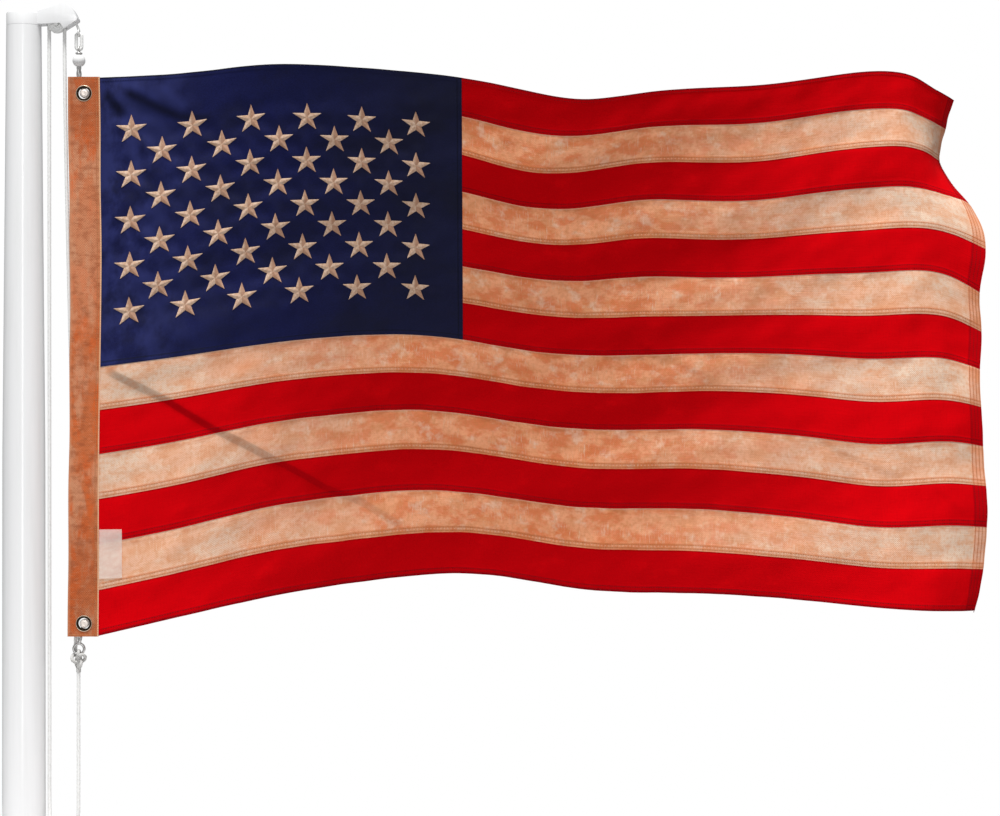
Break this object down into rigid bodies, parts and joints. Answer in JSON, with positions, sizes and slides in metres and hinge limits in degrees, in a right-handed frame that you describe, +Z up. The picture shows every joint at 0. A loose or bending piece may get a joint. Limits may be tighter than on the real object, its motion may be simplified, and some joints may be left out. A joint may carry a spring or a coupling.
{
  "type": "flag on a flagpole",
  "caption": "Weathered, tea-stained sewn flag with a starred canton, flying from the top length of a pole with truck, halyard, snaps and cleat.",
  "frame": {"origin": "centre of the pole's foot", "axes": "+Z up along the pole, +X along the fly away from the pole, -Y out of the flag's front face"},
  "size_m": [1.6083, 0.237, 1.4734],
  "materials": {
    "white_enamel": "satin white enamel on metal",
    "white_plastic": "moulded white plastic bead",
    "nickel": "dull nickel plate, weathered",
    "rope": "white braided rope",
    "heading_canvas": "stained canvas, russet brown and mottled",
    "eyelet_brass": "rolled metal, tarnished dark in the groove",
    "navy_cloth": "navy weave with raised tan satin-stitched stars",
    "red_cloth": "deep red plain weave",
    "cream_cloth": "cream plain weave with orange-brown tea stains",
    "label_satin": "thin translucent satin, blank"
  },
  "bodies": {
    "root": {"pole": "white_enamel", "truck": "white_enamel", "cleat": "white_enamel", "clip_ball": "white_plastic", "sheave": "nickel", "sheave_pin": "nickel", "truck_eye": "nickel", "clip_top": "nickel", "clip_low": "nickel", "top_loop": "rope", "halyard": "rope", "halyard_knot": "rope", "heading": "heading_canvas", "eyelet_top": "eyelet_brass", "eyelet_low": "eyelet_brass", "canton": "navy_cloth", "stripe_01": "red_cloth", "stripe_02": "cream_cloth", "stripe_03": "red_cloth", "stripe_04": "cream_cloth", "stripe_05": "red_cloth", "stripe_06": "cream_cloth", "stripe_07": "red_cloth", "stripe_08": "cream_cloth", "stripe_09": "red_cloth", "stripe_10": "cream_cloth", "stripe_11": "red_cloth", "stripe_12": "cream_cloth", "stripe_13": "red_cloth", "label": "label_satin"}
  },
  "joints": []
}
